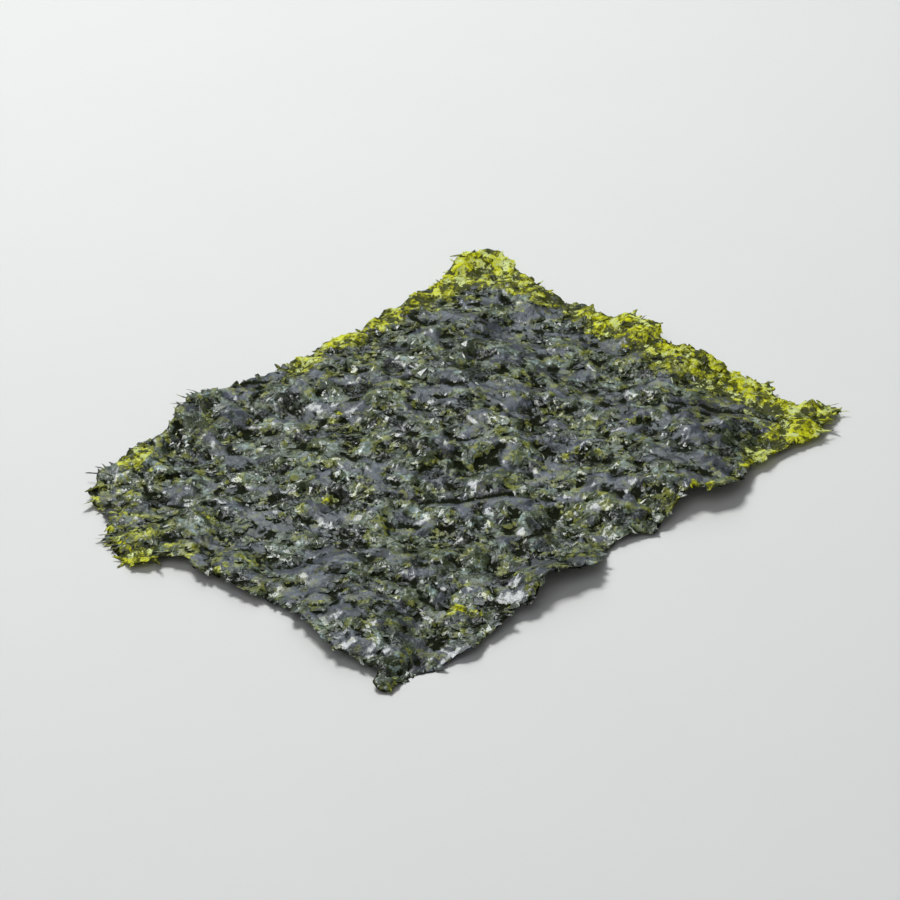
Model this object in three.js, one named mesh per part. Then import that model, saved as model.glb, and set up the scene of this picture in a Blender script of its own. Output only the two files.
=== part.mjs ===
// A sheet of roasted, oiled seaweed (nori), cut to a hand-sized rectangle.
// It is one crisp leaf, a few tenths of a millimetre thick: wavy from roasting,
// crinkled all over by the flakes it was pressed from, with torn, ragged sides.
// Millimetres, +Z up, the long side along X. The leaf lies on z = 0, where its
// lowest waves are pressed flat, and the origin is under the middle of its box.

import * as THREE from "three";

// Driving dimensions.
const LENGTH = 95; // along X
const WIDTH = 72; // along Y, half way along the leaf
const TAPER = 5; // how much wider the right end is than the left
const THICKNESS = 0.35;

// The grid that both faces share.
const COLUMNS = 62;
const ROWS = 46;
const GRID_WANDER = 0.27; // how far a grid point strays, as a share of its cell

// Which run of chance each use of it draws on.
const SEED = { along: 1, across: 2, diagonal: 9 };

// Torn tongues and bites along each side: where along the side, how far out of
// the straight cut (negative is a bite), half the width, and how far the tip
// leans along the side.
const TEARS = {
  back: [
    { at: -46, out: -1.8, wide: 6 },
    { at: -29, out: -1.0, wide: 9 },
    { at: -18, out: 2.3, wide: 4.2, lean: -1.6 },
    { at: -7, out: -0.9, wide: 6 },
    { at: 3, out: -0.7, wide: 5 },
    { at: 15, out: -0.9, wide: 4 },
    { at: 31, out: 1.9, wide: 8 },
    { at: 41, out: 1.7, wide: 4.2, lean: -1.0 },
    { at: 46, out: 0.5, wide: 6 },
  ],
  right: [
    { at: 34, out: 1.6, wide: 9 },
    { at: 14, out: -0.2, wide: 6 },
    { at: 2, out: 1.4, wide: 7 },
    { at: -5, out: -1.3, wide: 3.5 },
    { at: -17, out: -0.9, wide: 6 },
    { at: -23, out: 2.4, wide: 2.2 },
    { at: -28, out: -1.4, wide: 4 },
    { at: -35, out: 1.5, wide: 3.4, lean: -0.6 },
  ],
  front: [
    { at: -45, out: -1.6, wide: 5 },
    { at: -33, out: 0.8, wide: 8 },
    { at: -18, out: -0.9, wide: 5 },
    { at: -11, out: 0.8, wide: 5 },
    { at: -2, out: -2.1, wide: 7 },
    { at: 12, out: -1.2, wide: 5 },
    { at: 20, out: 2.3, wide: 7 },
    { at: 39, out: 1.2, wide: 8 },
  ],
  left: [
    { at: -33, out: 2.0, wide: 3.2 },
    { at: -22, out: 0.5, wide: 5 },
    { at: -11, out: -1.9, wide: 9 },
    { at: 3, out: 0.4, wide: 5 },
    { at: 15, out: 5.2, wide: 5.5, lean: -1.2 },
    { at: 21, out: 2.6, wide: 5 },
    { at: 29, out: -0.3, wide: 3.5 },
    { at: 34, out: -2.8, wide: 3 },
  ],
};
const TEAR_FADE = 10; // how far into the leaf a tear still moves the grid

// The uneven cut between the tears: size of each nick and its depth.
const NICKS = [
  { size: 7.5, depth: 0.55, seed: 3 },
  { size: 2.9, depth: 0.75, seed: 5 },
  { size: 1.5, depth: 0.45, seed: 7 },
];
const NICK_ROW = 50; // mm from one side's line of nicks to the next in the pattern

// Broad waves: crest to crest, the heading across the crests in degrees, height
// either side of the middle, and the place of the first crest.
const SWELLS = [
  { spacing: 66, heading: 24, height: 0.85, crest: 9 },
  { spacing: 41, heading: -52, height: 0.55, crest: -6 },
  { spacing: 27, heading: 78, height: 0.35, crest: 4 },
];

// Places where the leaf lifts (or, negative, droops), mostly at its rim.
const CURLS = [
  { x: -17, y: -38, reach: 16, rise: 3.8 },
  { x: 15, y: -37, reach: 9, rise: 1.5 },
  { x: 34, y: -37, reach: 10, rise: -0.8 },
  { x: -47, y: -36, reach: 15, rise: -2.9 },
  { x: -52, y: 17, reach: 9, rise: -2.2 },
  { x: -46, y: 0, reach: 10, rise: 1.1 },
  { x: -45, y: 35, reach: 9, rise: 0.9 },
  { x: -20, y: 39, reach: 9, rise: 1.7 },
  { x: 14, y: 37, reach: 11, rise: -0.9 },
  { x: 46, y: 38, reach: 14, rise: 0.7 },
  { x: 48, y: 14, reach: 8, rise: -0.3 },
  { x: 49, y: 2, reach: 9, rise: 1.6 },
  { x: 47, y: -20, reach: 9, rise: -1.2 },
  { x: 48, y: -36, reach: 9, rise: 1.0 },
];

// Crinkles: how large one is across, how high its ridges stand above its
// middle, and how far the pattern is turned, in degrees, off the sides.
const CRINKLES = [
  { size: 10.5, ridge: 0.85, turn: 31, seed: 31 },
  { size: 5.6, ridge: 0.9, turn: -22, seed: 37 },
  { size: 3.5, ridge: 0.42, turn: 58, seed: 41 },
];

// The share of the leaf that is pressed flat where it rests.
const RESTING_SHARE = 0.06;

const HALF_LENGTH = LENGTH / 2;
const HALF_WIDTH = WIDTH / 2;
const MIDDLE = new THREE.Vector2(0, 0);

// The same number from -1 to 1 each time for one point of a whole-number grid.
function chance(column, row, seed) {
  let h = Math.imul(column, 374761393) ^ Math.imul(row, 668265263);
  h = Math.imul(h ^ Math.imul(seed, 2246822519), 3266489917);
  h = Math.imul(h ^ (h >>> 15), 2654435761);
  return ((h ^ (h >>> 13)) >>> 0) / 2147483647.5 - 1;
}

const ease = (t) => t * t * (3 - 2 * t);

// A smooth random surface whose lumps are `size` across.
function lumps(x, y, size, seed) {
  const column = Math.floor(x / size);
  const row = Math.floor(y / size);
  const across = ease(x / size - column);
  const up = ease(y / size - row);
  const near = THREE.MathUtils.lerp(
    chance(column, row, seed),
    chance(column + 1, row, seed),
    across,
  );
  const far = THREE.MathUtils.lerp(
    chance(column, row + 1, seed),
    chance(column + 1, row + 1, seed),
    across,
  );
  return THREE.MathUtils.lerp(near, far, up);
}

// A hump that is 1 at its centre and falls smoothly to 0 at `reach`.
function hump(distance, reach) {
  const t = Math.min(1, Math.abs(distance) / reach);
  return (1 - t * t) ** 2;
}

// How far the torn side stands out of the straight cut at `at`, and how far it
// is pulled along the side there.
function tearAt(side, at) {
  let out = 0;
  let along = 0;
  for (const tear of TEARS[side]) {
    const share = hump(at - tear.at, tear.wide);
    out += tear.out * share;
    along += (tear.lean ?? 0) * share;
  }
  const row = Object.keys(TEARS).indexOf(side) * NICK_ROW;
  for (const nick of NICKS) {
    out += nick.depth * lumps(at, row, nick.size, nick.seed);
  }
  return { out, along };
}

// How much of a side's tear is still felt at a distance in from that side.
const fade = (distance) => ease(Math.max(0, 1 - distance / TEAR_FADE));

// The place in plan of a grid point, u and v running from 0 to 1.
function placeOf(column, row) {
  const inside =
    column > 0 && column < COLUMNS && row > 0 && row < ROWS ? GRID_WANDER : 0;
  const u = (column + inside * chance(column, row, SEED.along)) / COLUMNS;
  const v = (row + inside * chance(column, row, SEED.across)) / ROWS;
  const x = THREE.MathUtils.lerp(-HALF_LENGTH, HALF_LENGTH, u);
  const half = HALF_WIDTH + (TAPER / 2) * (x / LENGTH);
  const y = THREE.MathUtils.lerp(-half, half, v);
  const back = tearAt("back", x);
  const front = tearAt("front", x);
  const right = tearAt("right", y);
  const left = tearAt("left", y);
  const backShare = fade(half - y);
  const frontShare = fade(half + y);
  const rightShare = fade(HALF_LENGTH - x);
  const leftShare = fade(HALF_LENGTH + x);
  return new THREE.Vector2(
    x +
      right.out * rightShare -
      left.out * leftShare +
      back.along * backShare +
      front.along * frontShare,
    y +
      back.out * backShare -
      front.out * frontShare +
      right.along * rightShare +
      left.along * leftShare,
  );
}

// The height of the leaf's underside before it is set down.
function heightAt(place) {
  let height = 0;
  for (const swell of SWELLS) {
    const heading = THREE.MathUtils.degToRad(swell.heading);
    const across = place.x * Math.cos(heading) + place.y * Math.sin(heading);
    const turn = (2 * Math.PI * (across - swell.crest)) / swell.spacing;
    height += swell.height * Math.cos(turn);
  }
  for (const curl of CURLS) {
    const distance = Math.hypot(place.x - curl.x, place.y - curl.y);
    height += curl.rise * hump(distance, curl.reach);
  }
  for (const crinkle of CRINKLES) {
    const turn = THREE.MathUtils.degToRad(crinkle.turn);
    const turned = place.clone().rotateAround(MIDDLE, turn);
    const lump = lumps(turned.x, turned.y, crinkle.size, crinkle.seed);
    height += crinkle.ridge * (0.5 - Math.abs(lump));
  }
  return height;
}

// Lowers the leaf until its lowest waves touch z = 0, and flattens them there.
function setDown(heights) {
  const lowestFirst = [...heights].sort((a, b) => a - b);
  const floor = lowestFirst[Math.floor(RESTING_SHARE * heights.length)];
  return heights.map((height) => Math.max(0, height - floor));
}

// Both faces of one grid cell's two triangles, cut along a diagonal that
// changes from cell to cell so that no crinkle runs straight.
function cellTriangles(column, row) {
  const a = row * (COLUMNS + 1) + column;
  const b = a + 1;
  const d = a + COLUMNS + 1;
  const c = d + 1;
  return chance(column, row, SEED.diagonal) > 0
    ? [a, b, c, a, c, d]
    : [a, b, d, b, c, d];
}

// The grid points round the rim, anticlockwise from above.
function rimPoints() {
  const points = [];
  const at = (column, row) => row * (COLUMNS + 1) + column;
  for (let column = 0; column < COLUMNS; column++) points.push(at(column, 0));
  for (let row = 0; row < ROWS; row++) points.push(at(COLUMNS, row));
  for (let column = COLUMNS; column > 0; column--) {
    points.push(at(column, ROWS));
  }
  for (let row = ROWS; row > 0; row--) points.push(at(0, row));
  return points;
}

// The leaf as one closed solid: an upper and a lower face split alike, and a
// narrow wall round the rim.
function leafGeometry() {
  const places = [];
  for (let row = 0; row <= ROWS; row++) {
    for (let column = 0; column <= COLUMNS; column++) {
      places.push(placeOf(column, row));
    }
  }
  const heights = setDown(places.map(heightAt));
  const upper = places.flatMap((p, i) => [p.x, p.y, heights[i] + THICKNESS]);
  const lower = places.flatMap((p, i) => [p.x, p.y, heights[i]]);

  const faces = [];
  const below = places.length;
  for (let row = 0; row < ROWS; row++) {
    for (let column = 0; column < COLUMNS; column++) {
      const [a, b, c, d, e, f] = cellTriangles(column, row);
      faces.push(a, b, c, d, e, f);
      faces.push(below + a, below + c, below + b);
      faces.push(below + d, below + f, below + e);
    }
  }
  const rim = rimPoints();
  rim.forEach((p, i) => {
    const q = rim[(i + 1) % rim.length];
    faces.push(below + p, below + q, q);
    faces.push(below + p, q, p);
  });

  const geometry = new THREE.BufferGeometry();
  const position = new THREE.Float32BufferAttribute([...upper, ...lower], 3);
  geometry.setAttribute("position", position);
  geometry.setIndex(faces);
  geometry.computeBoundingBox();
  const middle = geometry.boundingBox.getCenter(new THREE.Vector3());
  geometry.translate(-middle.x, -middle.y, -geometry.boundingBox.min.z);
  geometry.computeVertexNormals();
  return geometry;
}

const roastedSeaweed = new THREE.MeshStandardMaterial({
  color: 0x23281f,
  roughness: 0.42,
  metalness: 0,
});

const sheet = new THREE.Mesh(leafGeometry(), roastedSeaweed);
sheet.name = "nori_sheet";

const part = new THREE.Group();
part.add(sheet);

export default part;
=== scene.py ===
# A sheet of roasted, oiled nori: flakes of seaweed pressed and dried into one thin, crinkled leaf.
# Shapes are worked out in millimetres over the leaf's plan, and put into the meshes in metres.

import math
from types import SimpleNamespace

import bpy
import numpy as np
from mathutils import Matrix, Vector


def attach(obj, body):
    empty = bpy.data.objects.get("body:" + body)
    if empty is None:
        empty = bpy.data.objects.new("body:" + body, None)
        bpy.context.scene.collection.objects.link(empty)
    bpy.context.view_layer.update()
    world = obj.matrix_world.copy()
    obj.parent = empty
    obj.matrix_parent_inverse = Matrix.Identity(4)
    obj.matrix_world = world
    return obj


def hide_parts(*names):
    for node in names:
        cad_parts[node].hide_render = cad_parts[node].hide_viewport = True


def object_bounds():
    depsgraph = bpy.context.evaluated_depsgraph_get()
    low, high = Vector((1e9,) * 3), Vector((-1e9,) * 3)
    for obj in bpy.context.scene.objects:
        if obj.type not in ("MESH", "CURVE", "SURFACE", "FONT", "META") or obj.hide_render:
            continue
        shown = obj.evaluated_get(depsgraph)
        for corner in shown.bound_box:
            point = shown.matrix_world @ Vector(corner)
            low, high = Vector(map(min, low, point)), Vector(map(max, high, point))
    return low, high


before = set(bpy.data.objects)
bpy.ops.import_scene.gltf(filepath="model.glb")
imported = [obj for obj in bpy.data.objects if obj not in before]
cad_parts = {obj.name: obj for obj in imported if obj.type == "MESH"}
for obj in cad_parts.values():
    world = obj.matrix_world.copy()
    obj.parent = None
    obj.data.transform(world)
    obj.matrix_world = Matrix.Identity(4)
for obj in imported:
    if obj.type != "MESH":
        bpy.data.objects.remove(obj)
cadLow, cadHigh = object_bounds()
mm = 0.001
highest = cadHigh.z / mm  # the CAD box's top, in mm
scene = bpy.context.scene
print("frame loaded:", len(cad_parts), "node")


# Chance and noise over the plan.

def chance(column, row, seed):
    # the same number from 0 to 1 each time for one lattice point: its whole numbers, multiplied
    # and folded
    h = (column * 374761393 + row * 668265263 + seed * 2246822519) & 0xFFFFFFFF
    h = ((h ^ (h >> 15)) * 2654435761) & 0xFFFFFFFF
    h = ((h ^ (h >> 13)) * 3266489917) & 0xFFFFFFFF
    return (h ^ (h >> 16)) / 0xFFFFFFFF


def ease(t):
    # t squared times 3 - 2t, held between 0 and 1
    t = np.clip(t, 0, 1)
    return t * t * (3 - 2 * t)


def turned(x, y, degrees):
    # the same points in axes turned by that angle
    c, s = math.cos(math.radians(degrees)), math.sin(math.radians(degrees))
    return c * x + s * y, c * y - s * x


def lumps(x, y, size, seed, turn=0, stretch=1):
    # Value noise from -1 to 1: chance on a lattice of that size, eased between its points. The
    # lattice is turned, and its lumps are that many times as long as wide.
    u, v = turned(x, y, turn)
    u, v = u / (size * stretch), v / size
    column, row = np.floor(u).astype(np.int64), np.floor(v).astype(np.int64)
    s, t = ease(u - column), ease(v - row)
    near = chance(column, row, seed) * (1 - s) + chance(column + 1, row, seed) * s
    far = chance(column, row + 1, seed) * (1 - s) + chance(column + 1, row + 1, seed) * s
    return 2 * (near * (1 - t) + far * t) - 1


def ridges(x, y, size, seed, turn=0, stretch=1):
    # 1 along thin crooked lines, where the lumps pass through 0, and falling away from them
    return 1 - np.abs(lumps(x, y, size, seed, turn, stretch))


def blurred(field, passes):
    # each pass gives a point half of itself and a quarter of its two neighbours, along both axes
    for _ in range(passes):
        for axis in (0, 1):
            field = 0.5 * field + 0.25 * (np.roll(field, 1, axis) + np.roll(field, -1, axis))
    return field


# The leaf's plan: a fine grid over the CAD leaf's own heights and outline.

leafPlan = {
    "cell": 0.385,  # mm between grid points
    "margin": 3,  # mm of grid outside the CAD outline
    "facetBlur": 3,  # passes that smooth away the CAD leaf's flat facets
    "upward": 0.01,  # square mm in plan that put a CAD triangle in the upper face
    "grain": -47,  # degrees from the long side: the way most folds and patches run
}


def nodeTriangles(name):
    # a CAD node's triangles as an array of corners, in mm
    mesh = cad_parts[name].data
    points = np.empty(len(mesh.vertices) * 3, np.float32)
    mesh.vertices.foreach_get("co", points)
    corners = np.empty(len(mesh.loops), np.int32)
    mesh.loops.foreach_get("vertex_index", corners)
    return points.reshape(-1, 3)[corners].reshape(-1, 3, 3).astype(float) / mm


def upperHeights(upper, low, shape):
    # The upper face's height at the grid points under each triangle, from barycentric weights.
    cell = leafPlan["cell"]
    heights = np.full(shape, np.nan)
    a, b, c = upper[:, 0], upper[:, 1], upper[:, 2]
    toB, toC = b - a, c - a
    whole = toB[:, 0] * toC[:, 1] - toB[:, 1] * toC[:, 0]
    first = np.floor((upper.min(1)[:, :2] - low) / cell).astype(int)
    reach = int(np.ceil(np.ptp(upper[:, :, :2], axis=1).max() / cell)) + 2
    for step in range(reach * reach):
        column, row = first[:, 0] + step % reach, first[:, 1] + step // reach
        px, py = low[0] + cell * column - a[:, 0], low[1] + cell * row - a[:, 1]
        weightB = (px * toC[:, 1] - py * toC[:, 0]) / whole
        weightC = (toB[:, 0] * py - toB[:, 1] * px) / whole
        covered = (weightB >= 0) & (weightC >= 0) & (weightB + weightC <= 1)
        z = a[:, 2] + weightB * toB[:, 2] + weightC * toC[:, 2]
        heights[row[covered], column[covered]] = z[covered]
    return heights


def spreadOutwards(heights):
    # outside the outline the heights run on: each pass fills a rim with the mean of known neighbours
    known = (~np.isnan(heights)).astype(float)
    filled = np.nan_to_num(heights)
    for _ in range(int(leafPlan["margin"] / leafPlan["cell"]) + 3):
        weight = blurred(known, 1)
        spread = blurred(filled * known, 1) / np.maximum(weight, 1e-9)
        filled = np.where(known > 0, filled, spread)
        known = np.where(weight > 1e-6, 1.0, 0.0)
    return filled


def distanceToOutline(upper, x, y):
    # the outline is the edges that only one triangle of the upper face has
    points, index = np.unique(upper.reshape(-1, 3).round(4), axis=0, return_inverse=True)
    index = index.reshape(-1, 3)
    edges = np.sort(np.concatenate([index[:, [0, 1]], index[:, [1, 2]], index[:, [2, 0]]]), axis=1)
    edges, times = np.unique(edges, axis=0, return_counts=True)
    start, end = points[edges[times == 1]][:, 0, :2], points[edges[times == 1]][:, 1, :2]
    nearest = np.full(x.shape, np.inf)
    for (sx, sy), (ex, ey) in zip(start, end):
        share = ((x - sx) * (ex - sx) + (y - sy) * (ey - sy)) / ((ex - sx) ** 2 + (ey - sy) ** 2)
        share = np.clip(share, 0, 1)
        nearest = np.minimum(nearest, np.hypot(x - sx - share * (ex - sx), y - sy - share * (ey - sy)))
    return nearest


def readForm(name):
    # the grid, the smoothed heights of the node's upper face on it, and the signed distance to the
    # node's outline, negative inside
    triangles = nodeTriangles(name)
    across = np.cross(triangles[:, 1] - triangles[:, 0], triangles[:, 2] - triangles[:, 0])
    upper = triangles[across[:, 2] / 2 > leafPlan["upward"]]
    cell, margin = leafPlan["cell"], leafPlan["margin"]
    low = np.floor((triangles.min((0, 1))[:2] - margin) / cell) * cell
    count = np.ceil((triangles.max((0, 1))[:2] + margin - low) / cell).astype(int) + 1
    x, y = np.meshgrid(low[0] + cell * np.arange(count[0]), low[1] + cell * np.arange(count[1]))
    heights = upperHeights(upper, low, x.shape)
    nearest = distanceToOutline(upper, x, y)
    smooth = blurred(spreadOutwards(heights), leafPlan["facetBlur"])
    return x, y, smooth, np.where(np.isnan(heights), nearest, -nearest)


def sample(field, px, py):
    # a field read between its four nearest grid points
    u = np.clip((px - gridX[0, 0]) / leafPlan["cell"], 0, gridX.shape[1] - 1.001)
    v = np.clip((py - gridY[0, 0]) / leafPlan["cell"], 0, gridX.shape[0] - 1.001)
    column, row = u.astype(int), v.astype(int)
    s, t = u - column, v - row
    near = field[row, column] * (1 - s) + field[row, column + 1] * s
    far = field[row + 1, column] * (1 - s) + field[row + 1, column + 1] * s
    return near * (1 - t) + far * t


gridX, gridY, formHeight, formEdge = readForm("nori_sheet")
print("leaf's plan:", gridX.shape, "points")


# The pressed flakes, and the relief that they and the crumpling give the leaf.

reliefLook = {
    "broadFlakes": {"size": 3.6, "step": 0.15, "lean": 0.07, "seed": 11},  # radius and step in mm
    "smallFlakes": {"size": 1.6, "step": 0.10, "lean": 0.16, "seed": 23},
    "flake": {
        "layers": 3,
        "spacing": 1.2,  # sizes between the middles in one layer
        "slimmest": 0.45,  # width over length
        "radius": (0.5, 0.6),  # least, and what chance adds, in sizes
        "waves": [(2, 0.17, 4), (3, 0.13, 5), (7, 0.08, 6)],  # times round it, depth, number drawn
        "raised": 0.3,  # steps that its rim stands up
        "rimFrom": 0.7,  # share of the way out where that starts
    },
    "crumples": [  # mm across a facet, mm high, degrees turned, share lost in smooth film, seed
        (6.5, 0.60, 12, 0.2, 31),
        (3.4, 0.50, -35, 0.4, 37),
        (1.8, 0.24, 50, 0.8, 41),
        (1.0, 0.06, 5, 0.9, 43),
    ],
    "film": {"size": 2.5, "stretch": 1.8, "level": 0.17, "soft": 0.15},  # where the leaf stayed smooth
    "crease": {  # long sunk folds
        "size": 8.0,  # mm between them
        "stretch": 3.8,
        "depth": 0.65,  # mm
        "sharp": 8,  # power that narrows them
        "bend": 2.2,  # mm that they wander
        "gaps": 14,  # mm across the stretches without one
    },
    "sunkDepth": 0.22,  # mm below its surroundings that makes a place fully dark with painted shade
    "valleyDepth": 0.20,  # mm below the middle of a wider stretch that makes a place a valley, fully in painted shade
}


def pressedFlakes(x, y, size, step, lean, seed):
    # Dead leaves: flakes with wavy outlines lie at random over one another, and a point has the
    # height and tone of the last one laid there. A flake is a leaning plane with a raised rim.
    look = reliefLook["flake"]
    layers, slimmest, (least, more) = look["layers"], look["slimmest"], look["radius"]
    found = {key: np.zeros(x.shape) for key in ("height", "tone", "centreX", "centreY")}
    rank = np.full(x.shape, -1.0)
    spacing = size * look["spacing"]
    for layer in range(layers):
        shift = spacing * layer / layers
        column0 = np.floor((x + shift) / spacing).astype(np.int64)
        row0 = np.floor((y + shift) / spacing).astype(np.int64)
        for place in range(9):
            column, row = column0 + place % 3 - 1, row0 + place // 3 - 1
            draw = [chance(column, row, seed + 100 * layer + k) for k in range(9)]
            cx = (column + draw[0]) * spacing - shift
            cy = (row + draw[1]) * spacing - shift
            angle = 2 * np.pi * draw[2]
            along = np.cos(angle) * (x - cx) + np.sin(angle) * (y - cy)
            aside = np.cos(angle) * (y - cy) - np.sin(angle) * (x - cx)
            aside = aside / (slimmest + (1 - slimmest) * draw[3])
            bearing = np.arctan2(aside, along)
            outline = 1 + sum(depth * np.cos(times * bearing + 6 * draw[k])
                              for times, depth, k in look["waves"])
            reach = np.hypot(along, aside) / (size * (least + more * draw[7]) * outline)
            laid = (layer + draw[8]) / layers
            over = (reach < 1) & (laid > rank)
            rank = np.where(over, laid, rank)
            tilt = 2 * lean * ((draw[4] - 0.5) * along + (draw[5] - 0.5) * aside)
            rim = look["raised"] * step * ease((reach - look["rimFrom"]) / (1 - look["rimFrom"]))
            height = step * (laid - 0.5) + tilt + rim
            for key, value in (("height", height), ("tone", draw[6]), ("centreX", cx), ("centreY", cy)):
                found[key] = np.where(over, value, found[key])
    return found


def crumple(x, y, size, seed, turn=0):
    # Crumpled film, from -1 to 1: heights drawn at the corners of a lattice of triangles, with the
    # lattice bent by lumps, and joined by flat facets.
    u, v = turned(x, y, turn)
    u = u + 0.45 * size * lumps(x, y, 1.9 * size, seed + 1)
    v = v + 0.45 * size * lumps(x, y, 1.9 * size, seed + 2)
    tall = size * math.sqrt(3) / 2
    across, up = u / size - v / (2 * tall), v / tall
    column, row = np.floor(across).astype(np.int64), np.floor(up).astype(np.int64)
    s, t = across - column, up - row
    here, right = chance(column, row, seed), chance(column + 1, row, seed)
    above, far = chance(column, row + 1, seed), chance(column + 1, row + 1, seed)
    low = here + s * (right - here) + t * (above - here)
    high = far + (1 - s) * (above - far) + (1 - t) * (right - far)
    return 2 * np.where(s + t < 1, low, high) - 1


def smoothFilm():
    # 1 in the patches where the leaf stayed smooth, 0 where it is crinkled: lumps of three sizes
    # along the grain, above a level
    look, grain = reliefLook["film"], leafPlan["grain"]
    field = 0.6 * lumps(gridX, gridY, look["size"], 57, grain, look["stretch"])
    field = field + 0.45 * lumps(gridX, gridY, look["size"] / 2, 59, grain - 15, look["stretch"])
    field = field + 0.3 * lumps(gridX, gridY, look["size"] * 3, 55, grain + 10)
    return ease((field - look["level"] + look["soft"]) / (2 * look["soft"]))


def leafRelief():
    # flakes plus crumples, the fine ones weaker in smooth film, with long creases sunk through them
    look = reliefLook["crease"]
    relief = broad["height"] + small["height"] * (1 - 0.5 * film)
    for size, height, turn, lost, seed in reliefLook["crumples"]:
        relief = relief + height * (1 - lost * film) * crumple(gridX, gridY, size, seed, turn)
    bendX = gridX + look["bend"] * lumps(gridX, gridY, 5, 61)
    bendY = gridY + look["bend"] * lumps(gridX, gridY, 5, 67)
    creases = ridges(bendX, bendY, look["size"], 71, leafPlan["grain"], look["stretch"])
    creases = creases ** look["sharp"] * ease(lumps(gridX, gridY, look["gaps"], 73, 10) + 0.6)
    return relief - look["depth"] * creases


broad = pressedFlakes(gridX, gridY, **reliefLook["broadFlakes"])
small = pressedFlakes(gridX, gridY, **reliefLook["smallFlakes"])
film = smoothFilm()
relief = leafRelief()
# painted shade: places below their surroundings darken the colour, as pits
sunk = np.clip((blurred(relief, 12) - relief) / reliefLook["sunkDepth"], 0, 1)
# painted shade and light: places below the wider stretch around them darken the colour, those above it
# lighten it
valley = np.clip((blurred(relief, 50) - blurred(relief, 5)) / reliefLook["valleyDepth"], -1, 1)
print("relief:", relief.min().round(2), "to", relief.max().round(2), "mm")


# The torn rim.

rimLook = {
    "flakeShare": 0.35,  # how much the rim follows whole flakes rather than the cut
    "flakeReach": 1.6,  # mm that a flake may reach past the cut, or stop short of it
    "nibble": 0.26,  # mm
    "nibbleSizes": (1.9, 0.9),
    "drawnIn": 0.1,  # mm that the rim stands inside the cut
    "thickness": 0.30,  # mm, in the middle of the leaf
    "rimThickness": 0.10,
    "thinsOver": 1.5,  # mm from the rim to the full thickness
    "thinLoss": 0.6,  # share of the thickness that a see-through flake lacks
    "sunk": 0.12,  # mm that the upper face lies below the CAD leaf's, so the relief straddles it
    "thinBand": 9.5,  # mm from the rim to where the leaf is opaque, with no painted glow from the rim
    "strand": (2.0, 2.4),  # mm across, and how many times as long: see-through strands at the rim
}
backlitThinPatches = [  # where light comes through the rim, painted as a lime glow, and the leaf is thinner: place, reach, share
    (47, 35, 12, 1.0), (39, 38, 9, 1.0), (49, 27, 8, 0.9), (48, 20, 6, 0.6), (47, 12, 6, 0.6),
    (46, 4, 9, 0.95), (46, -4, 6, 0.7), (45, -12, 8, 0.85), (45, -20, 9, 0.95), (45, -28, 9, 0.9),
    (45, -35, 11, 1.0), (33, 37, 7, 0.8), (25, 37, 7, 0.75), (15, 37, 7, 0.75), (4, 36, 6, 0.6),
    (-20, 37, 4, 0.2), (-51.5, 15, 5, 0.8), (-45, 30, 8, 0.3), (-46, 20, 10, 0.25), (-47, 5, 9, 0.2),
    (-32, 34, 6, 0.35), (-46, -36, 4, 0.4),
    (-28, -38, 3, 0.3), (14, -38, 5, 0.5), (32, -38, 7, 0.65),
]
backlitThinSpots = [  # where light comes through inside the leaf, painted as lime spots, and the leaf is thinner: place, reach
    (-28.5, -29.6, 2.6), (-21, 5, 1.2), (-4, 19.5, 1.1), (12, -14, 1.0), (27, 18, 1.2), (-36, 14, 1.3),
]


def tornEdge():
    # The signed distance to the torn rim: the cut's distance, with a share of the distance at the
    # centre of the flake that lies there, so that flakes hang out or are missing, and small nicks.
    centre = 0.5 * sample(formEdge, broad["centreX"], broad["centreY"])
    centre = centre + 0.5 * sample(formEdge, small["centreX"], small["centreY"])
    look, (broadNick, smallNick) = rimLook, rimLook["nibbleSizes"]
    edge = formEdge + look["flakeShare"] * np.clip(centre, -look["flakeReach"], look["flakeReach"])
    edge = edge + look["drawnIn"] + look["nibble"] * lumps(gridX, gridY, broadNick, 83, 15)
    edge = edge + 0.5 * look["nibble"] * lumps(gridX, gridY, smallNick, 89, 40)
    return blurred(edge, 1)


def thinAndBacklitShare():
    # 1 where the leaf is one see-through flake thick and the glow of light coming through is painted:
    # near the rim and inside a thin patch, mostly flake by flake, by where each flake's centre lies
    x, y = 0.7 * small["centreX"] + 0.3 * gridX, 0.7 * small["centreY"] + 0.3 * gridY
    patches = np.zeros(gridX.shape)
    for px, py, reach, share in backlitThinPatches:
        patches = np.maximum(patches, share * (1 - ease(np.hypot(x - px, y - py) / reach - 0.35)))
    near = np.clip(1.15 + sample(edgeDistance, x, y) / rimLook["thinBand"], 0, 1)
    size, stretch = rimLook["strand"]
    alongX, alongY = lumps(x, y, size, 91, 8, stretch), lumps(x, y, size, 93, 82, stretch)
    strands = np.where(gridX / cadHigh.x > gridY / cadHigh.y, alongY, alongX)
    thin = near * patches * (1.05 + 0.2 * small["tone"] + 0.3 * strands)
    for px, py, reach in backlitThinSpots:
        thin = np.maximum(thin, (np.hypot(x - px, y - py) < reach) * (0.25 + 0.35 * small["tone"]))
    return blurred(np.clip(thin, 0, 1), 1)


def fromCorners(field):
    # the mean of each cell's four corners
    return (field[:-1, :-1] + field[1:, 1:] + field[:-1, 1:] + field[1:, :-1]) / 4


edgeDistance = tornEdge()
thin = thinAndBacklitShare()


# Meshes.

def addPiece(name, points, faces, material, attributes, sharp=None):
    # one mesh object at the origin, its points in mm, riding on the root body
    mesh = bpy.data.meshes.new(name)
    mesh.from_pydata((points * mm).tolist(), [], faces.tolist())
    for key, values in attributes.items():
        layer = mesh.attributes.new(key, "FLOAT", "POINT")
        layer.data.foreach_set("value", np.asarray(values, np.float32))
    mesh.shade_smooth()
    if sharp:
        mesh.set_sharp_from_angle(angle=math.radians(sharp))
    mesh.materials.append(material)
    piece = bpy.data.objects.new(name, mesh)
    scene.collection.objects.link(piece)
    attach(piece, "root")
    print(name + ":", len(mesh.loops) - 2 * len(mesh.polygons), "triangles")
    return piece


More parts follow.
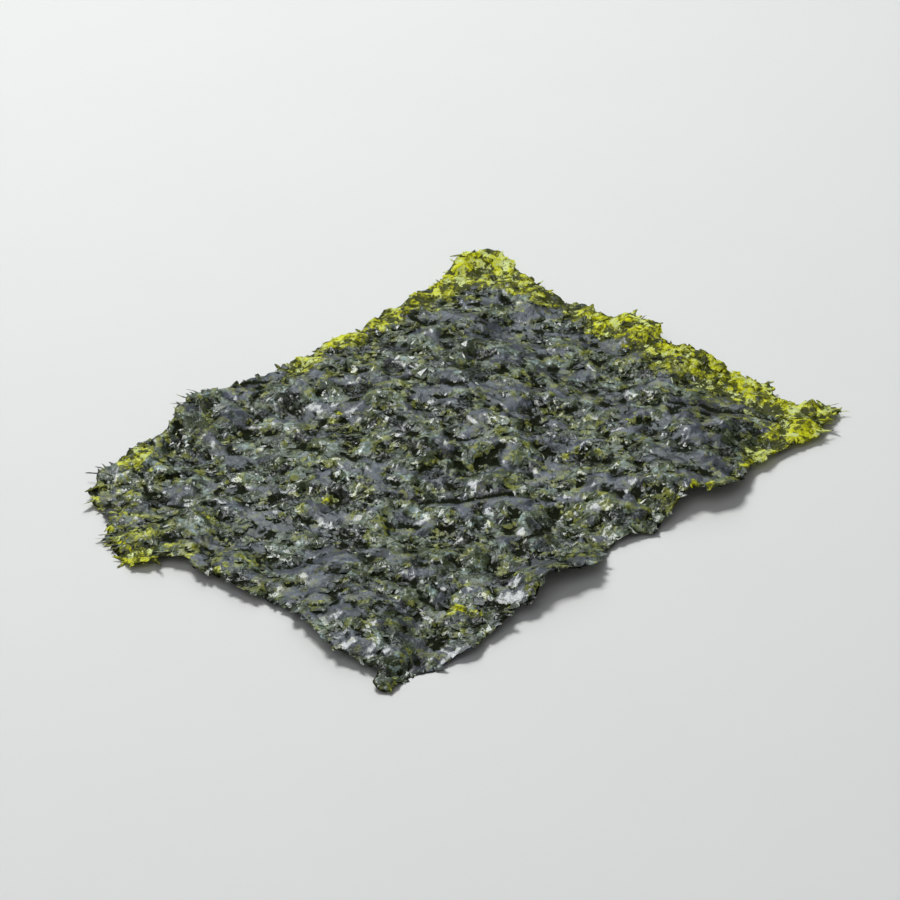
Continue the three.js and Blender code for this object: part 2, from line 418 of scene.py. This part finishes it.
def settledCells(keep):
    # drops cells that hang on by a corner, and fills cells between two that only touch corners
    keep = keep.copy()
    for _ in range(6):
        padded = np.pad(keep, 1).astype(int)
        sides = padded[:-2, 1:-1] + padded[2:, 1:-1] + padded[1:-1, :-2] + padded[1:-1, 2:]
        keep &= sides >= 2
        a, b, c, d = keep[:-1, :-1], keep[:-1, 1:], keep[1:, :-1], keep[1:, 1:]
        falling, rising = a & d & ~b & ~c, b & c & ~a & ~d
        keep[:-1, 1:] |= falling
        keep[:-1, :-1] |= rising
    return keep


def largestPart(keep):
    # the cells that a spread from the middle reaches
    reached = np.zeros(keep.shape, bool)
    reached[keep.shape[0] // 2, keep.shape[1] // 2] = True
    grown = reached
    while True:
        for axis in (0, 1):
            for step in (1, -1):
                grown = grown | np.roll(grown, step, axis) & keep
        if (grown == reached).all():
            return reached
        reached = grown


def leafSurface():
    # Both faces over the same kept cells of the grid: the form plus the relief, and the thickness
    # below that, held within the CAD box. They share their rim points, which are moved along the
    # slope of the edge distance onto the rim.
    keep = largestPart(settledCells(fromCorners(edgeDistance) < 0))
    around = 4 * fromCorners(np.pad(keep, 1).astype(float))  # kept cells that meet at a point
    used, rim = around > 0, (around > 0) & (around < 4)
    slopeY, slopeX = np.gradient(edgeDistance, leafPlan["cell"])
    steep = np.maximum(slopeX ** 2 + slopeY ** 2, 0.25)
    limit = 0.45 * leafPlan["cell"]
    moveX = np.where(rim, np.clip(-edgeDistance * slopeX / steep, -limit, limit), 0)
    moveY = np.where(rim, np.clip(-edgeDistance * slopeY / steep, -limit, limit), 0)
    x, y = gridX + moveX, gridY + moveY

    full, least = rimLook["thickness"], rimLook["rimThickness"]
    inward = ease(-edgeDistance / rimLook["thinsOver"])
    thickness = least + (full - least) * inward * (1 - rimLook["thinLoss"] * thin)
    top = np.minimum(formHeight - rimLook["sunk"] + relief, highest)
    bottom = np.maximum(top - thickness, 0)
    top = np.maximum(top, bottom + 0.6 * thickness)
    middle = sample((top + bottom) / 2, x, y)
    top, bottom = np.where(rim, middle, top), np.where(rim, middle, bottom)

    own = used & ~rim
    upper = np.cumsum(used.ravel()).reshape(used.shape) - 1
    lower = np.where(own, used.sum() + np.cumsum(own.ravel()).reshape(used.shape) - 1, upper)
    points = np.concatenate([
        np.stack([x[used], y[used], top[used]], 1),
        np.stack([x[own], y[own], bottom[own]], 1)])
    first, last = slice(None, -1), slice(1, None)
    ring = [(first, first), (first, last), (last, last), (last, first)]
    above = np.stack([upper[part][keep] for part in ring], 1)
    below = np.stack([lower[part][keep] for part in reversed(ring)], 1)
    return points, np.concatenate([above, below]), top, keep, (used, own)


leafPoints, leafFaces, leafTop, leafCells, leafUsed = leafSurface()


def onBothFaces(field):
    # a grid field at the leaf's points: those of the upper face, then the lower face's own
    used, own = leafUsed
    return np.concatenate([field[used], field[own]])


# Shader nodes.

class Wire:
    # A socket of a node tree, or the bare tree. Arithmetic adds Math nodes, and add() any other node.
    def __init__(self, tree, socket=None):
        self.tree = tree
        self.socket = socket

    def add(self, kind, settings=None, sockets=None, output=0):
        # the node's settings first, then its sockets' values or wires; returns one of its outputs
        node = self.tree.nodes.new(kind)
        for key, value in (settings or {}).items():
            setattr(node, key, value)
        for key, value in (sockets or {}).items():
            socket = self.find(node.inputs, key)
            if isinstance(value, Wire):
                self.tree.links.new(value.socket, socket)
            else:
                socket.default_value = (*value, 1) if socket.type == "RGBA" else value
        return Wire(self.tree, self.find(node.outputs, output) if node.outputs else None)

    def find(self, sockets, key):
        # a socket by its number, or the enabled one of that name
        if isinstance(key, int):
            return sockets[key]
        return next(s for s in sockets if s.name == key and s.enabled)

    def other(self, name):
        # another output of the same node
        return Wire(self.tree, self.find(self.socket.node.outputs, name))

    def math(self, operation, second=0.0, first=None):
        sockets = {0: self if first is None else first, 1: second}
        return self.add("ShaderNodeMath", {"operation": operation}, sockets)

    def __add__(self, other):
        return self.math("ADD", other)

    def __radd__(self, other):
        return self.math("ADD", other)

    def __sub__(self, other):
        return self.math("SUBTRACT", other)

    def __rsub__(self, other):
        return self.math("SUBTRACT", self, other)

    def __mul__(self, other):
        return self.math("MULTIPLY", other)

    def __rmul__(self, other):
        return self.math("MULTIPLY", other)

    def vector(self, operation, *values, output="Vector"):
        sockets = dict(enumerate((self, *values)))
        return self.add("ShaderNodeVectorMath", {"operation": operation}, sockets, output)

    def blend(self, low, high):
        # low where this is 0, high where it is 1
        sockets = {"Factor": self, "A": low, "B": high}
        return self.add("ShaderNodeMix", {"data_type": "RGBA"}, sockets, "Result")

    def band(self, low, high):
        # 0 below low, 1 above high, eased between
        return self.add("ShaderNodeMapRange", {"interpolation_type": "SMOOTHSTEP"},
                        {"Value": self, "From Min": low, "From Max": high})


seaweedLook = {
    "black": (0.006, 0.009, 0.001),
    "green": (0.028, 0.043, 0.004),
    # slate: the smooth film's bluish tint and painted sheen; dusk: its darker tone, also painted shade
    # in valleys
    "slate": (0.056, 0.066, 0.090),
    "dusk": (0.014, 0.018, 0.020),
    "ash": (0.115, 0.140, 0.060),
    # painted glints on the crinkled facets
    "pale": (0.33, 0.44, 0.43),
    "olive": (0.21, 0.225, 0.015),
    "brown": (0.10, 0.045, 0.012),
    # painted glow: lime where light comes through the leaf
    "lime": (0.96, 0.97, 0.015),
    "shade": (0.048, 0.055, 0.0),  # the painted glow where it is dark
    "tip": (0.88, 0.96, 0.42),  # painted highlights on the lime
    "glow": (0.80, 0.86, 0.02),  # the light that comes through
    "glowShare": 0.25,
    "bigFacets": (2.5, 0.55),  # mm across a crinkle's facet, and how much it leans
    "littleFacets": (1.125, 0.44),
    "bend": 1.1,  # mm that the facets' borders wander
    "wrinkleDepth": 0.16,  # mm
    "grainDepth": 0.06,
    "crackDepth": 0.04,
    "roughness": (0.24, 0.50),  # where the oil lies smooth, and where it is dull
    "limeRoughness": 0.15,  # added where light comes through
    "coat": 0.5,  # how much oil lies on the film
    "coatRoughness": 0.2,
    "dullShare": 0.6,  # how much of the lime is as dull as the pits
    "pitRoughness": 0.8,
    "pitShine": 0.1,
}
seaweedBands = {  # the level where each begins, and the one where it is whole
    "shiny": (0.36, 0.64),
    "slate": (0.68, 1.28),
    "crack": (0.03, 0.006),
    "ash": (0.55, 0.85),
    "pale": (0.88, 1.10),
    "dark": (0.74, 0.52),
    "olive": (1.10, 1.22),
    "brown": (0.915, 0.93),
    "gapAndShade": (0.60, 1.06),
    "glowing": (1.36, 1.94),
    "tip": (0.76, 0.94),
    "lit": (0.20, 0.52),
    "dull": (0.25, 0.85),
}


def noise(place, size, detail=3, roughness=0.6, distortion=0.0):
    # noise whose lumps are about that many mm across
    return place.add("ShaderNodeTexNoise", {}, {
        "Vector": place, "Scale": 1 / (size * mm), "Detail": detail, "Roughness": roughness,
        "Distortion": distortion})


def facets(place, size, lean):
    # Flat facets that lean at random: in each Voronoi cell the height is the place from the cell's
    # middle, dotted with the cell's random colour less a half. Returns the cell's random share and
    # the height in m.
    cell = place.add("ShaderNodeTexVoronoi", {}, {"Vector": place, "Scale": 1 / (size * mm)}, "Color")
    away = place.vector("SUBTRACT", cell.other("Position"))
    slope = cell.vector("SUBTRACT", (0.5, 0.5, 0.5))
    pick = cell.add("ShaderNodeSeparateColor", {}, {"Color": cell}, "Blue")
    return pick, away.vector("DOT_PRODUCT", slope, output="Value") * lean


def seaweedFields(tree):
    # everything that varies over the seaweed: the mesh's own attributes, noises from cloud, the
    # widest, to fine, facets in two sizes, and the cracks, where a noise passes through its middle
    look, bands = seaweedLook, seaweedBands
    place = tree.add("ShaderNodeTexCoord", output="Object")
    f = SimpleNamespace()
    for key in ("tone", "fleck", "thin", "film", "sunk", "valley"):
        setattr(f, key, tree.add("ShaderNodeAttribute", {"attribute_name": key}, output="Fac"))
    f.cloud = noise(place, 6, 4, 0.55)
    f.cluster = noise(place, 3.6, 2, 0.5, 0.6)
    f.mottle = noise(place, 1.1, 3, 0.6, 0.4)
    f.wrinkles = noise(place, 0.8, 4, 0.6, 0.6)
    f.fine = noise(place, 0.4, 3, 0.65)
    wander = noise(place, 0.9, 2).other("Color").vector("SUBTRACT", (0.5, 0.5, 0.5))
    bent = wander.vector("MULTIPLY_ADD", (look["bend"] * mm,) * 3, place)
    f.pick, bigHeight = facets(bent, *look["bigFacets"])
    f.littlePick, littleHeight = facets(bent, *look["littleFacets"])
    f.facetHeight = bigHeight + littleHeight
    f.crinkled = 1 - f.film
    # painted sheen: clusters where the film's colour turns lighter, fewer in valleys
    f.shiny = (f.cluster - f.valley * 0.11).band(*bands["shiny"])
    f.cracks = (noise(place, 2.4, 4, 0.6, 0.5) - 0.5).math("ABSOLUTE").band(*bands["crack"])
    return f


def filmColour(f):
    # slate where the film is smooth, a bluish tint with painted sheen, and where it is crinkled ash,
    # pale, black and olive facets; the pale are painted glints, the olive partly painted light coming
    # through
    look, bands = seaweedLook, seaweedBands
    # the smooth film: dusk to slate, its tint with painted sheen, darker in valleys and lighter on
    # ridges as painted shade and light
    slate = f.cloud * 0.6 + f.mottle * 0.6 + f.cluster * 0.5 + f.tone * 0.25 - f.valley * 0.16
    slate = slate.band(*bands["slate"]).blend(look["dusk"], look["slate"])
    # ash facets, lighter in the clusters of painted sheen
    ash = f.littlePick * 0.35 + f.pick * 0.35 + f.mottle * 0.3 + f.shiny * 0.3
    ash = ash.band(*bands["ash"]).blend(look["green"], look["ash"])
    # pale painted glints, more in the shiny clusters and where light comes through
    pale = f.littlePick * 0.35 + f.mottle * 0.4 + f.fine * 0.4 + f.shiny * 0.35 + f.thin * 0.15
    ash = pale.band(*bands["pale"]).blend(ash, look["pale"])
    dark = (f.pick + f.mottle * 0.5 + f.shiny * 0.3).band(*bands["dark"])
    colour = f.film.blend(dark.blend(ash, look["black"]), slate)
    # olive flecks: their own tone, and more of them where light comes through, as painted through-light
    olive = f.littlePick * 0.55 + f.pick * 0.15 + f.fleck * 0.15 + f.cloud * 0.5 + f.fine * 0.6
    olive = (olive + f.thin * 0.5).band(*bands["olive"]) * (f.crinkled * 0.6 + 0.4)
    colour = olive.blend(colour, look["olive"])
    return (f.littlePick * 0.5 + f.cloud * 0.6).band(*bands["brown"]).blend(colour, look["brown"])


def limeColour(f, glowing):
    # painted glow: from dark olive to lime by the square of the glow, with pale painted highlights
    look = seaweedLook
    colour = (glowing * glowing).blend(look["shade"], look["lime"])
    # painted highlights: pale glints on the lime
    tip = f.fine * 0.7 + f.littlePick * 0.3 + f.pick * 0.2 + f.thin * 0.15
    return tip.band(*seaweedBands["tip"]).blend(colour, look["tip"])


def seaweedMaterial(name, facetShare):
    # roasted seaweed: oiled film, dull black gaps between its flakes deepened by painted shade,
    # and lime painted where light comes through; the facets are that share of their full height
    look, bands = seaweedLook, seaweedBands
    material = bpy.data.materials.new(name)
    material.use_nodes = True
    material.node_tree.nodes.clear()
    tree = Wire(material.node_tree)
    f = seaweedFields(tree)

    # black gaps between the flakes, and painted shade in pits, valleys and outside the shiny clusters
    gapAndShade = f.sunk + (1 - f.pick) * f.crinkled * 0.4 + (1 - f.shiny) * 0.2
    gapAndShade = (gapAndShade + f.mottle * 0.3 + f.cracks * 0.4 + f.valley * 0.13).band(*bands["gapAndShade"])
    # painted glow: how bright the lime of light coming through is painted, dimmer in pits and valleys;
    # also the translucent shader's share
    glowing = f.thin * 0.4 + f.fleck * 0.2 + f.littlePick * 0.4 + f.pick * 0.25 + f.mottle * 0.9
    glowing = glowing - f.sunk * 0.5 + f.cluster * 0.4 + f.fine * 0.6 - f.valley * 0.1
    glowing = glowing.band(*bands["glowing"])
    # where light comes through: the colour turns to the painted lime glow, with less coat and more
    # roughness
    lit = (f.pick * 0.45 + f.littlePick * 0.25 + f.mottle * 0.5 - 0.6) * 0.9
    lit = (f.thin + lit - f.cracks * 0.15).band(*bands["lit"])
    colour = gapAndShade.blend(filmColour(f), look["black"])
    colour = lit.blend(colour, limeColour(f, glowing))

    height = f.facetHeight * (f.crinkled * 0.65 + 0.35) * facetShare
    height = height + f.wrinkles * (look["wrinkleDepth"] * mm)
    height = height + f.fine * (look["grainDepth"] * mm) - f.cracks * (look["crackDepth"] * mm)
    bump = tree.add("ShaderNodeBump", {}, {"Strength": 1.0, "Distance": 1.0, "Height": height}, "Normal")
    oiled, dull = look["roughness"]
    rough = (f.mottle * 0.7 + f.littlePick * 0.3 + f.film * 0.15).band(*bands["dull"])
    rough = rough * (dull - oiled) + oiled + lit * look["limeRoughness"]
    surface = tree.add("ShaderNodeBsdfPrincipled", {}, {
        "Base Color": colour, "Roughness": rough, "IOR": 1.5, "Normal": bump,
        "Coat Weight": (1 - lit) * look["coat"], "Coat Roughness": look["coatRoughness"]}, "BSDF")
    pit = tree.add("ShaderNodeBsdfPrincipled", {}, {
        "Base Color": colour, "Roughness": look["pitRoughness"], "Specular IOR Level": look["pitShine"],
        "Normal": bump}, "BSDF")
    through = tree.add("ShaderNodeBsdfTranslucent", {}, {"Color": look["glow"], "Normal": bump}, "BSDF")
    pitShare, glowShare = gapAndShade * (1 - lit) + lit * look["dullShare"], lit * glowing * look["glowShare"]
    mixed = tree.add("ShaderNodeMixShader", {}, {0: pitShare, 1: surface, 2: pit}, "Shader")
    mixed = tree.add("ShaderNodeMixShader", {}, {0: glowShare, 1: mixed, 2: through}, "Shader")
    tree.add("ShaderNodeOutputMaterial", {}, {"Surface": mixed})
    return material


leafSeaweed = seaweedMaterial("leafSeaweed", 1.0)
shardSeaweed = seaweedMaterial("shardSeaweed", 0.4)
print("materials made")

leaf = addPiece("noriLeaf", leafPoints, leafFaces, leafSeaweed, {
    "tone": onBothFaces(broad["tone"]), "fleck": onBothFaces(small["tone"]), "thin": onBothFaces(thin),
    "film": onBothFaces(film), "sunk": onBothFaces(sunk), "valley": onBothFaces(valley)})
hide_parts("nori_sheet")


# Shards of crinkled film that lie on the leaf.

shardLook = {
    "counts": {"top": 5500, "below": 2200, "rim": 450},
    "size": (0.4, 1.6),  # mm from the middle to the tips
    "smaller": 2.0,  # power that makes small ones common
    "rimSize": 0.7,  # the sizes at the rim are that share
    "smoothest": 0.55,  # on the upper face, none where the film is smoother than this
    "inset": 0.7,  # mm that those of both faces keep from the rim
    "rimWidth": 0.8,  # mm on both sides of the rim that hold the rim's own
    "stray": 0.35,  # how far a corner turns from its place, in steps between corners
    "reach": (0.6, 1.1),  # how far its corners stand, as shares of its size
    "slim": (0.3, 0.8),  # its width as a share of its length
    "foldEnds": (0.25, 0.6),  # how far the fold's two ends stand from the middle
    "foldAside": 0.25,  # how far they stray to the side, as a share of its half width
    "fold": 0.26,  # how high the fold along its length stands, as a share of its half width
    "foldRange": (-0.5, 1.2),  # what chance multiplies that by; below 0 the corners stand up
    "uneven": (-0.06, 0.05),  # how much each point sinks or rises, as a share of the size
    "lean": 0.16,  # how far it leans, as a slope
    "deepest": 0.04,  # mm that the leaning takes a point down
    "backlitThinness": (0.6, 1.3),  # times the leaf's own
    "thickness": 0.05,  # mm
    "sharp": 12,  # degrees between faces that makes an edge crisp
    "seed": 5,
}
shardCorners = 6  # points 0 to 5 of a shard; 6 and 7 are the ends of its fold, and 8 lies below
shardPointCount = shardCorners + 3


def shardPoints(x, y, size, side, rng):
    # A crooked outline of corners on the leaf, two points on the fold along its middle, and one
    # point below. Corner k stands at about k sixths of a turn, at the reach drawn for it.
    count, look = len(x), shardLook
    x, y, size = x[:, None], y[:, None], size[:, None]
    stray = rng.uniform(-look["stray"], look["stray"], (count, shardCorners))
    angle = (np.arange(shardCorners) + stray) * 2 * np.pi / shardCorners
    reach = rng.uniform(*look["reach"], (count, shardCorners)) * size
    slim = rng.uniform(*look["slim"], (count, 1))
    ends = [sign * size * rng.uniform(*look["foldEnds"], (count, 1)) for sign in (1, -1)]
    middle = np.zeros((count, 1))
    u = np.concatenate([reach * np.cos(angle), *ends, middle], 1)
    aside = slim * size * rng.uniform(-look["foldAside"], look["foldAside"], (count, 2))
    v = np.concatenate([slim * reach * np.sin(angle), aside, middle], 1)
    turn = rng.uniform(0, 2 * np.pi, (count, 1))
    px = x + np.cos(turn) * u - np.sin(turn) * v
    py = y + np.sin(turn) * u + np.cos(turn) * v

    fold = look["fold"] * size * slim * rng.uniform(*look["foldRange"], (count, 1))
    lift = np.array([0.0] * shardCorners + [1.0, 1.0, 0.0]) * fold
    lift = lift + rng.uniform(*look["uneven"], (count, shardPointCount)) * size
    lift = lift + np.maximum(-fold, 0) * np.array([1.0] * shardCorners + [1.0, 1.0, 0.3])
    lean = rng.uniform(-1, 1, (count, 2, 1)) * look["lean"]
    lift = lift + np.maximum(lean[:, 0] * u + lean[:, 1] * v, -look["deepest"])
    lift[:, -1] -= look["thickness"]
    ground = sample(leafTop, px, py)
    if side < 0:
        ground = ground - rimLook["thickness"]
    return np.stack([px, py, ground + side * lift], 2)


def shardFaces(count, side):
    # the corners round the fold's two ends from above, and a fan from the point below
    above = [(6, 0, 1), (6, 1, 2), (6, 2, 7), (7, 2, 3), (7, 3, 4), (7, 4, 5), (7, 5, 6), (6, 5, 0)]
    below = [(8, (k + 1) % shardCorners, k) for k in range(shardCorners)]
    faces = np.array(above + below)[:, ::side]
    return (faces[None] + shardPointCount * np.arange(count)[:, None, None]).reshape(-1, 3)


def placesIn(mask, count, rng):
    # random places inside the cells that a mask gives
    rows, columns = np.nonzero(leafCells & mask)
    pick = rng.integers(0, len(rows), count)
    x = gridX[0, 0] + leafPlan["cell"] * (columns[pick] + rng.random(count))
    y = gridY[0, 0] + leafPlan["cell"] * (rows[pick] + rng.random(count))
    return x, y


def filmShards():
    # shards over the crinkled parts of the upper face, over the lower face, and along the rim
    rng = np.random.default_rng(shardLook["seed"])
    inner = fromCorners(edgeDistance) < -shardLook["inset"]
    crinkledCells = inner & (fromCorners(film) < shardLook["smoothest"])
    rimCells = np.abs(fromCorners(edgeDistance)) < shardLook["rimWidth"]
    counts = shardLook["counts"]
    points, faces, attributes = [], [], []
    for count, mask, side in ((counts["top"], crinkledCells, 1), (counts["below"], inner, -1),
                              (counts["rim"], rimCells, 1)):
        x, y = placesIn(mask, count, rng)
        low, high = shardLook["size"]
        size = low + (high - low) * rng.random(count) ** shardLook["smaller"]
        if mask is rimCells:
            size = size * shardLook["rimSize"]
        start = shardPointCount * sum(len(p) for p in points)
        points.append(shardPoints(x, y, size, side, rng))
        faces.append(shardFaces(count, side) + start)
        tone, fleck = rng.random(count), rng.random(count)
        backlitThinness = sample(thin, x, y) * rng.uniform(*shardLook["backlitThinness"], count)
        own = np.stack([tone, fleck, backlitThinness, sample(valley, x, y)])
        attributes.append(np.repeat(own, shardPointCount, axis=1))
    points = np.concatenate(points).reshape(-1, 3)
    points[:, 2] = np.clip(points[:, 2], 0, highest)
    return points, np.concatenate(faces), np.concatenate(attributes, 1)


points, faces, (tone, fleck, backlitThinness, low) = filmShards()
addPiece("filmShards", points, faces, shardSeaweed, {
    "tone": tone, "fleck": fleck, "thin": backlitThinness, "film": 0.4 * tone, "sunk": 0 * tone, "valley": low},
    shardLook["sharp"])


# Torn wisps that stand out of the rim.

shredLook = {
    "count": 90,
    "length": (0.4, 2.2),  # mm
    "shorter": 2.5,  # power that makes short ones common
    "width": (0.3, 1.0),  # mm
    "slimmer": 1.5,  # power that makes slim ones common
    "tip": 0.18,  # share of the width that is left at the tip
    "taper": 0.5,  # the power by which it narrows
    "thickness": 0.06,  # mm
    "stations": 6,  # sections along a wisp
    "start": 0.7,  # mm inside the rim
    "startBand": 0.4,  # mm, give or take that
    "sparse": 0.05,  # how common they are away from the tufts
    "dense": 2,  # and what a tuft adds
    "stray": 0.8,  # radians, give or take, from straight out of the rim
    "sway": 0.35,  # how far the tip bends aside, as a share of the length
    "rise": (-0.15, 0.12),  # how far the tip sinks or rises, as a share of the length
    "wavy": 0.3,  # how much the width varies, as a share of it
    "backlitThinness": (0.5, 1.4),  # times the leaf's own
    "tilt": 0.5,  # steepest slope across it
    "overhang": 0.9,  # mm that a tip may stand past the CAD box in plan
    "seed": 8,
}
tufts = [  # where wisps are thick on the rim: place, reach
    (47, -38, 6), (49, -22, 4), (42, 38, 6), (-19, 39, 6), (-44, 34, 8), (-49, 17, 7), (-12, 36, 6),
    (17, 36, 5), (49, 2, 4),
]
longWisps = [  # root, heading in degrees, length, width
    (-16.8, 37.2, 135, 4.0, 1.2), (-18.5, 36.0, 152, 3.4, 0.9), (3.6, 36.0, 100, 3.2, 0.7),
    (46.0, 37.2, 132, 3.4, 1.1), (42.0, -36.8, -50, 3.8, 0.8), (36.0, -37.0, -66, 3.0, 0.6),
    (44.2, -36.0, -32, 3.6, 0.7), (-44.5, 31.0, 168, 3.6, 0.9), (-46.5, 26.0, 190, 3.4, 0.8),
]


def roomFor(start, reach, low, high):
    # the share of a reach that stays between low and high: the room on its side over the reach
    room = np.where(reach > 0, high + shredLook["overhang"] - start, start - low + shredLook["overhang"])
    return np.minimum(room / np.maximum(np.abs(reach), 1e-6), 1)


def shredPoints(x, y, heading, length, width, rng):
    # A profile carried along a path: at a share s of its length the middle is the start plus s
    # lengths along the heading, plus sway times s squared across it, and the flat diamond section
    # narrows as the taper's power of 1 - s, down to the tip's share.
    count, look, stations = len(x), shredLook, shredLook["stations"]
    s = np.linspace(0, 1, stations)[None]
    sway = rng.uniform(-look["sway"], look["sway"], (count, 1))
    rise = rng.uniform(*look["rise"], (count, 1))
    alongX, alongY = np.cos(heading)[:, None], np.sin(heading)[:, None]
    x, y, length = x[:, None], y[:, None], length[:, None]
    roomX = roomFor(x, length * (alongX - alongY * sway), cadLow.x / mm, cadHigh.x / mm)
    roomY = roomFor(y, length * (alongY + alongX * sway), cadLow.y / mm, cadHigh.y / mm)
    length = length * np.minimum(roomX, roomY)
    middleX = x + length * (alongX * s - alongY * sway * s ** 2)
    middleY = y + length * (alongY * s + alongX * sway * s ** 2)
    middleZ = np.clip(sample(leafTop, x, y) - 0.03 + length * rise * s ** 2, 0.1, highest - 0.1)
    wavy = 1 + look["wavy"] * rng.uniform(-1, 1, (count, stations))
    tip = look["tip"]
    half = 0.5 * width[:, None] * (tip + (1 - tip) * (1 - s) ** look["taper"]) * wavy
    thick = 0.5 * look["thickness"] * (0.3 + 0.7 * (1 - s))
    tilt = rng.uniform(-look["tilt"], look["tilt"], (count, 1))
    corners = [(half, tilt * half), (0 * half, thick), (-half, -tilt * half), (0 * half, -thick)]
    return np.stack([np.stack([middleX - alongY * side, middleY + alongX * side, middleZ + up], 2)
                     for side, up in corners], 2)


def shredFaces(count):
    # quads between the sections, and one at each end
    stations = shredLook["stations"]
    k, station = np.tile(np.arange(4), stations - 1), np.repeat(np.arange(stations - 1), 4)
    near, nearNext = 4 * station + k, 4 * station + (k + 1) % 4
    walls = np.stack([near, nearNext, nearNext + 4, near + 4], 1)
    last = 4 * (stations - 1)
    ends = np.array([(3, 2, 1, 0), (last, last + 1, last + 2, last + 3)])
    faces = np.concatenate([walls, ends])
    return (faces[None] + 4 * stations * np.arange(count)[:, None, None]).reshape(-1, 4)


def rimShreds():
    # short wisps, thickest in the tufts, that head out of the rim give or take, and the long ones
    look, cell = shredLook, leafPlan["cell"]
    rng, count = np.random.default_rng(look["seed"]), look["count"]
    middle = fromCorners(edgeDistance)
    rows, columns = np.nonzero(leafCells & (np.abs(middle + look["start"]) < look["startBand"]))
    x, y = gridX[0, 0] + cell * (columns + 0.5), gridY[0, 0] + cell * (rows + 0.5)
    weight = np.full(len(x), look["sparse"])
    for px, py, reach in tufts:
        weight = weight + look["dense"] * (np.hypot(x - px, y - py) < reach)
    pick = rng.choice(len(x), count, replace=False, p=weight / weight.sum())
    x, y = x[pick], y[pick]
    slopeY, slopeX = np.gradient(blurred(formEdge, 4))
    heading = np.arctan2(sample(slopeY, x, y), sample(slopeX, x, y))
    heading = heading + rng.normal(0, look["stray"], count)
    low, high = look["length"]
    length = look["start"] + low + (high - low) * rng.random(count) ** look["shorter"]
    low, high = look["width"]
    width = low + (high - low) * rng.random(count) ** look["slimmer"]
    long = np.array(longWisps)
    long = long[sample(edgeDistance, long[:, 0], long[:, 1]) < -look["startBand"]]
    x, y = np.append(x, long[:, 0]), np.append(y, long[:, 1])
    heading = np.append(heading, np.radians(long[:, 2]))
    length, width = np.append(length, long[:, 3]), np.append(width, long[:, 4])
    count = len(x)
    points = shredPoints(x, y, heading, length, width, rng)
    each = 4 * look["stations"]
    tone, fleck = rng.random(count), rng.random(count)
    backlitThinness = np.clip(sample(thin, x, y) * rng.uniform(*look["backlitThinness"], count), 0, 1)
    points = points.reshape(-1, 3)
    points[:, 2] = np.clip(points[:, 2], 0, highest)
    return points, shredFaces(count), np.repeat(np.stack([tone, fleck, backlitThinness]), each, axis=1)


points, faces, (tone, fleck, backlitThinness) = rimShreds()
level = np.zeros(len(tone))
addPiece("rimShreds", points, faces, shardSeaweed, {
    "tone": tone, "fleck": fleck, "thin": backlitThinness, "film": 0.5 * tone, "sunk": level, "valley": level})


# Floor, light and camera.

studio = {
    "floorColour": (0.80, 0.79, 0.77),
    "floorHeight": -0.06,  # mm
    "floorSide": 3.0,  # m
    "floorRoughness": 0.75,
    "ambient": 0.14,
    "ambientColour": (0.93, 0.96, 1.0),
    "lens": 112,
    "cameraFrom": (-260.8, -240.0, 231.0),  # mm, as the photo was taken
    "aim": (1.0, 0.0, 1.5),
}
lights = {  # azimuth and elevation in degrees, distance and side in m, watts, colour
    "backPanel": (135, 36, 1.1, 0.55, 2.0, (0.83, 0.94, 1.0)),
    "keyLight": (165, 62, 0.8, 0.24, 4.7, (0.97, 1.0, 0.99)),
    "fillLight": (-70, 55, 1.0, 0.7, 1.5, (0.92, 0.96, 1.0)),
}


def makeFloor():
    # a pale square, barely mottled
    side, z = studio["floorSide"] / 2, studio["floorHeight"] * mm
    corners = [(-side, -side, z), (side, -side, z), (side, side, z), (-side, side, z)]
    mesh = bpy.data.meshes.new("floor")
    mesh.from_pydata(corners, [], [(0, 1, 2, 3)])
    material = bpy.data.materials.new("paleFloor")
    material.use_nodes = True
    material.node_tree.nodes.clear()
    tree = Wire(material.node_tree)
    place = tree.add("ShaderNodeTexCoord", output="Object")
    pale = studio["floorColour"]
    tint = noise(place, 25, 4).blend(pale, tuple(0.97 * share for share in pale))
    surface = tree.add("ShaderNodeBsdfPrincipled", {}, {
        "Base Color": tint, "Roughness": studio["floorRoughness"]}, "BSDF")
    tree.add("ShaderNodeOutputMaterial", {}, {"Surface": surface})
    mesh.materials.append(material)
    floor = bpy.data.objects.new("floor", mesh)
    scene.collection.objects.link(floor)


def areaLight(name, azimuth, elevation, distance, size, power, colour):
    # a square soft light that faces the leaf; azimuth is counted as the camera's is
    a, e = math.radians(azimuth), math.radians(elevation)
    away = Vector((math.sin(a) * math.cos(e), -math.cos(a) * math.cos(e), math.sin(e)))
    data = bpy.data.lights.new(name, "AREA")
    data.size, data.energy, data.color = size, power, colour
    light = bpy.data.objects.new(name, data)
    light.location = away * distance
    light.rotation_mode = "QUATERNION"
    light.rotation_quaternion = away.to_track_quat("Z", "Y")
    scene.collection.objects.link(light)


def makeCamera():
    # looks from its place to the aim
    data = bpy.data.cameras.new("camera")
    data.lens, data.sensor_width, data.sensor_fit = studio["lens"], 36, "HORIZONTAL"
    data.clip_start, data.clip_end = 0.01, 20
    camera = bpy.data.objects.new("camera", data)
    camera.location = Vector(studio["cameraFrom"]) * mm
    camera.rotation_mode = "QUATERNION"
    camera.rotation_quaternion = (camera.location - Vector(studio["aim"]) * mm).to_track_quat("Z", "Y")
    scene.collection.objects.link(camera)
    scene.camera = camera


makeFloor()
for name, settings in lights.items():
    areaLight(name, *settings)
world = bpy.data.worlds.new("studioWorld")
world.use_nodes = True
background = world.node_tree.nodes["Background"].inputs
background["Color"].default_value = (*studio["ambientColour"], 1)
background["Strength"].default_value = studio["ambient"]
scene.world = world
scene.view_settings.view_transform = "Standard"
makeCamera()
print("stage ready")
